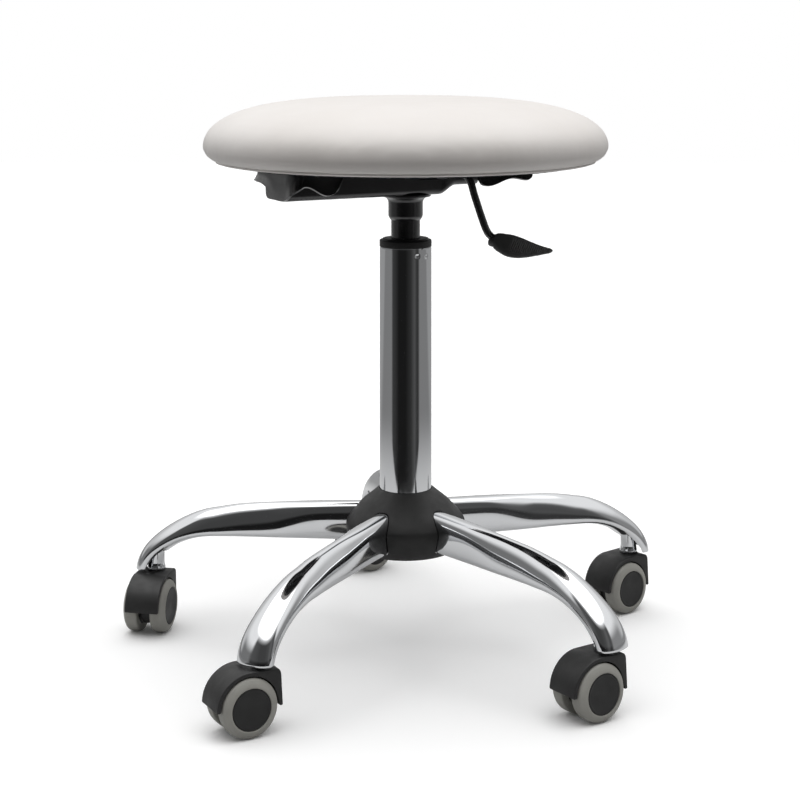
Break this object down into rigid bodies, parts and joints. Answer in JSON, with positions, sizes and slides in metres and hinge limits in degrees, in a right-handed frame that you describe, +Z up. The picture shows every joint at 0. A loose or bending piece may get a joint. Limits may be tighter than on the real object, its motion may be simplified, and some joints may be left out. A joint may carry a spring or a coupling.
{
  "type": "dentist stool",
  "caption": "Height-adjustable clinic stool: round padded seat on a gas lift with a hand lever, chromed star base and soft-tread twin-wheel casters.",
  "frame": {"origin": "on the swivel axis, at the centre of the flat lower end of the piston rod under the hub; the floor is the plane z = -0.080 m", "axes": "+Z up along the column, +X to the right and +Y away from the viewer as the picture shows the stool"},
  "size_m": [0.5242, 0.5286, 0.5253],
  "materials": {
    "vinyl": "smooth satin upholstery vinyl, warm off-white",
    "foam": "open-cell seat foam",
    "plywood": "birch plywood",
    "black_steel": "black semi-gloss enamel",
    "zinc_steel": "bright zinc plate",
    "chrome": "polished chrome plate",
    "black_plastic": "fine-grained matte black nylon",
    "wheel_core": "matte black nylon",
    "grey_tread": "soft warm-grey polyurethane"
  },
  "bodies": {
    "base": {"hub_sleeve": "chrome", "hub_cover": "black_plastic", "arm_1": "chrome", "arm_2": "chrome", "arm_3": "chrome", "arm_4": "chrome", "arm_5": "chrome", "column_tube": "chrome", "guide_bushing": "black_plastic", "thrust_bearing": "zinc_steel", "caster_stem_1": "zinc_steel", "caster_stem_2": "zinc_steel", "caster_stem_3": "zinc_steel", "caster_stem_4": "zinc_steel", "caster_stem_5": "zinc_steel"},
    "piston": {"piston_rod": "zinc_steel", "retaining_clip": "zinc_steel"},
    "seat": {"seat_cover": "vinyl", "seat_foam": "foam", "seat_board": "plywood", "seat_plate": "black_steel", "seat_socket": "black_steel", "seat_bolt_1": "zinc_steel", "seat_bolt_2": "zinc_steel", "seat_bolt_3": "zinc_steel", "seat_bolt_4": "zinc_steel", "pressure_tube": "black_steel"},
    "lever": {"lever_rod": "black_steel", "lever_grip": "black_plastic"},
    "valve": {"valve_pin": "zinc_steel"},
    "caster_1": {"caster_housing_1": "black_plastic", "caster_axle_1": "zinc_steel"},
    "wheel_1_left": {"wheel_core_1_left": "wheel_core", "wheel_tread_1_left": "grey_tread"},
    "wheel_1_right": {"wheel_core_1_right": "wheel_core", "wheel_tread_1_right": "grey_tread"},
    "caster_2": {"caster_housing_2": "black_plastic", "caster_axle_2": "zinc_steel"},
    "wheel_2_left": {"wheel_core_2_left": "wheel_core", "wheel_tread_2_left": "grey_tread"},
    "wheel_2_right": {"wheel_core_2_right": "wheel_core", "wheel_tread_2_right": "grey_tread"},
    "caster_3": {"caster_housing_3": "black_plastic", "caster_axle_3": "zinc_steel"},
    "wheel_3_left": {"wheel_core_3_left": "wheel_core", "wheel_tread_3_left": "grey_tread"},
    "wheel_3_right": {"wheel_core_3_right": "wheel_core", "wheel_tread_3_right": "grey_tread"},
    "caster_4": {"caster_housing_4": "black_plastic", "caster_axle_4": "zinc_steel"},
    "wheel_4_left": {"wheel_core_4_left": "wheel_core", "wheel_tread_4_left": "grey_tread"},
    "wheel_4_right": {"wheel_core_4_right": "wheel_core", "wheel_tread_4_right": "grey_tread"},
    "caster_5": {"caster_housing_5": "black_plastic", "caster_axle_5": "zinc_steel"},
    "wheel_5_left": {"wheel_core_5_left": "wheel_core", "wheel_tread_5_left": "grey_tread"},
    "wheel_5_right": {"wheel_core_5_right": "wheel_core", "wheel_tread_5_right": "grey_tread"}
  },
  "joints": [
    {"name": "seat_swivel", "type": "hinge", "parent": "base", "child": "piston", "pos_m": [0, 0, 0], "axis": [0, 0, 1], "continuous": true},
    {"name": "seat_lift", "type": "slide", "parent": "piston", "child": "seat", "axis": [0, 0, 1], "range_m": [-0.015, 0.125]},
    {"name": "lever_lift", "type": "hinge", "parent": "seat", "child": "lever", "pos_m": [0.03825, -0.0117, 0.3738], "axis": [-0.2924, -0.9563, 0], "range_deg": [0, 5]},
    {"name": "valve_press", "type": "slide", "parent": "seat", "child": "valve", "axis": [0, 0, -1], "range_m": [0, 0.0036]},
    {"name": "caster_swivel_1", "type": "hinge", "parent": "base", "child": "caster_1", "pos_m": [0.22839, 0.1065, 0], "axis": [0, 0, 1], "continuous": true},
    {"name": "wheel_spin_1_left", "type": "hinge", "parent": "caster_1", "child": "wheel_1_left", "pos_m": [0.2148, 0.09469, -0.055], "axis": [0.6561, -0.7547, 0], "continuous": true},
    {"name": "wheel_spin_1_right", "type": "hinge", "parent": "caster_1", "child": "wheel_1_right", "pos_m": [0.2148, 0.09469, -0.055], "axis": [0.6561, -0.7547, 0], "continuous": true},
    {"name": "caster_swivel_2", "type": "hinge", "parent": "base", "child": "caster_2", "pos_m": [-0.03071, 0.25012, 0], "axis": [0, 0, 1], "continuous": true},
    {"name": "wheel_spin_2_left", "type": "hinge", "parent": "caster_2", "child": "wheel_2_left", "pos_m": [-0.0445, 0.23855, -0.055], "axis": [0.6428, -0.766, 0], "continuous": true},
    {"name": "wheel_spin_2_right", "type": "hinge", "parent": "caster_2", "child": "wheel_2_right", "pos_m": [-0.0445, 0.23855, -0.055], "axis": [0.6428, -0.766, 0], "continuous": true},
    {"name": "caster_swivel_3", "type": "hinge", "parent": "base", "child": "caster_3", "pos_m": [-0.24737, 0.04808, 0], "axis": [0, 0, 1], "continuous": true},
    {"name": "wheel_spin_3_left", "type": "hinge", "parent": "caster_3", "child": "wheel_3_left", "pos_m": [-0.25081, 0.03042, -0.055], "axis": [0.9816, -0.1908, 0], "continuous": true},
    {"name": "wheel_spin_3_right", "type": "hinge", "parent": "caster_3", "child": "wheel_3_right", "pos_m": [-0.25081, 0.03042, -0.055], "axis": [0.9816, -0.1908, 0], "continuous": true},
    {"name": "caster_swivel_4", "type": "hinge", "parent": "base", "child": "caster_4", "pos_m": [-0.12217, -0.2204, 0], "axis": [0, 0, 1], "continuous": true},
    {"name": "wheel_spin_4_left", "type": "hinge", "parent": "caster_4", "child": "wheel_4_left", "pos_m": [-0.13792, -0.22913, -0.055], "axis": [0.4848, -0.8746, 0], "continuous": true},
    {"name": "wheel_spin_4_right", "type": "hinge", "parent": "caster_4", "child": "wheel_4_right", "pos_m": [-0.13792, -0.22913, -0.055], "axis": [0.4848, -0.8746, 0], "continuous": true},
    {"name": "caster_swivel_5", "type": "hinge", "parent": "base", "child": "caster_5", "pos_m": [0.17186, -0.1843, 0], "axis": [0, 0, 1], "continuous": true},
    {"name": "wheel_spin_5_left", "type": "hinge", "parent": "caster_5", "child": "wheel_5_left", "pos_m": [0.15712, -0.19463, -0.055], "axis": [0.5736, -0.8192, 0], "continuous": true},
    {"name": "wheel_spin_5_right", "type": "hinge", "parent": "caster_5", "child": "wheel_5_right", "pos_m": [0.15712, -0.19463, -0.055], "axis": [0.5736, -0.8192, 0], "continuous": true}
  ],
  "couplings": [
    {"joint": "valve_press", "follows": "lever_lift", "m_per_rad": 0.04}
  ]
}
